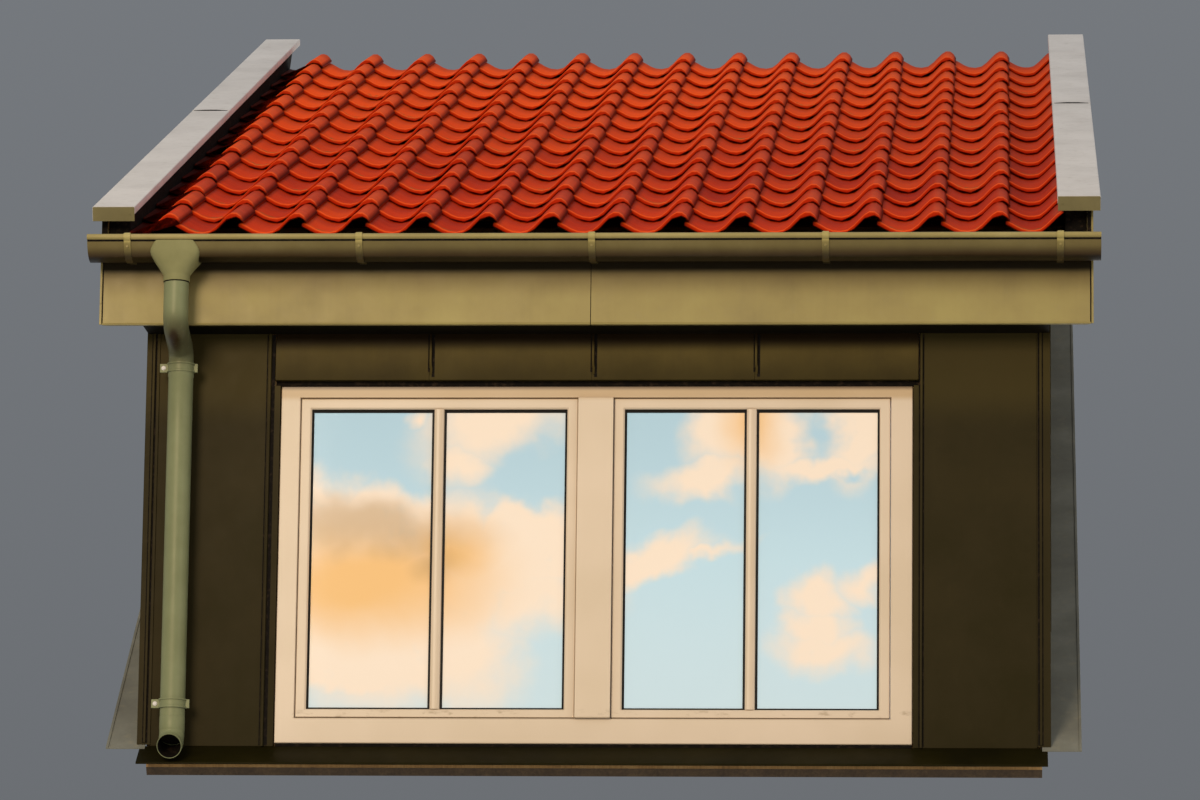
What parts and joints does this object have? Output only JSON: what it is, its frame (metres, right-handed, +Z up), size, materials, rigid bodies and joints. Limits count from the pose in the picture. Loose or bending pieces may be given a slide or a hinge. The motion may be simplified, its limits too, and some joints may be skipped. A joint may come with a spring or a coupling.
{
  "type": "dormer window",
  "caption": "Shed dormer window with a pantile roof, half-round gutter and downpipe, sheet-clad walls and a two-light window, standing on a pitched roof.",
  "frame": {"origin": "on the roof seat, in the underside of the front sole plate, on the centre line of the dormer", "axes": "+X across the front to the right as seen from outside, +Y level into the roof, +Z up"},
  "size_m": [3.234, 4.5572, 3.5099],
  "materials": {
    "timber": "sawn softwood",
    "dark_sheet": "dark brown coated sheet, satin",
    "felt_black": "black bitumen felt, dull",
    "olive_sheet": "olive coated sheet, satin",
    "pipe_olive": "olive coated tube, satin",
    "cap_sheet": "light grey coated sheet, weathered",
    "grey_sheet": "grey flashing sheet, dull",
    "roof_tile": "red engobed clay, satin",
    "white_plastic": "cream white uPVC, satin",
    "pane": "clear insulating glass"
  },
  "bodies": {
    "root": {"sole_frame": "timber", "front_wall": "timber", "left_cheek_wall": "timber", "right_cheek_wall": "timber", "roof_rafters": "timber", "roof_deck": "timber", "tile_battens": "timber", "roof_tiles": "roof_tile", "left_kerb": "felt_black", "right_kerb": "felt_black", "left_cap_lower": "cap_sheet", "left_cap_upper": "cap_sheet", "right_cap_lower": "cap_sheet", "right_cap_upper": "cap_sheet", "left_verge_board": "olive_sheet", "right_verge_board": "olive_sheet", "left_side_soffit": "dark_sheet", "right_side_soffit": "dark_sheet", "left_fascia": "olive_sheet", "right_fascia": "olive_sheet", "front_soffit": "dark_sheet", "gutter": "olive_sheet", "gutter_brackets": "olive_sheet", "gutter_outlet": "pipe_olive", "swan_neck": "pipe_olive", "downpipe": "pipe_olive", "pipe_clips": "pipe_olive", "pipe_shoe": "pipe_olive", "left_wall_panel": "dark_sheet", "right_wall_panel": "dark_sheet", "header_panels": "dark_sheet", "left_corner_trim": "dark_sheet", "right_corner_trim": "dark_sheet", "sill_flashing": "dark_sheet", "left_cheek_cladding": "dark_sheet", "right_cheek_cladding": "dark_sheet", "left_side_flashing": "grey_sheet", "right_side_flashing": "grey_sheet", "window_frame": "white_plastic", "mullion_cover": "white_plastic", "left_sash": "white_plastic", "right_sash": "white_plastic", "left_glass": "pane", "right_glass": "pane"}
  },
  "joints": []
}
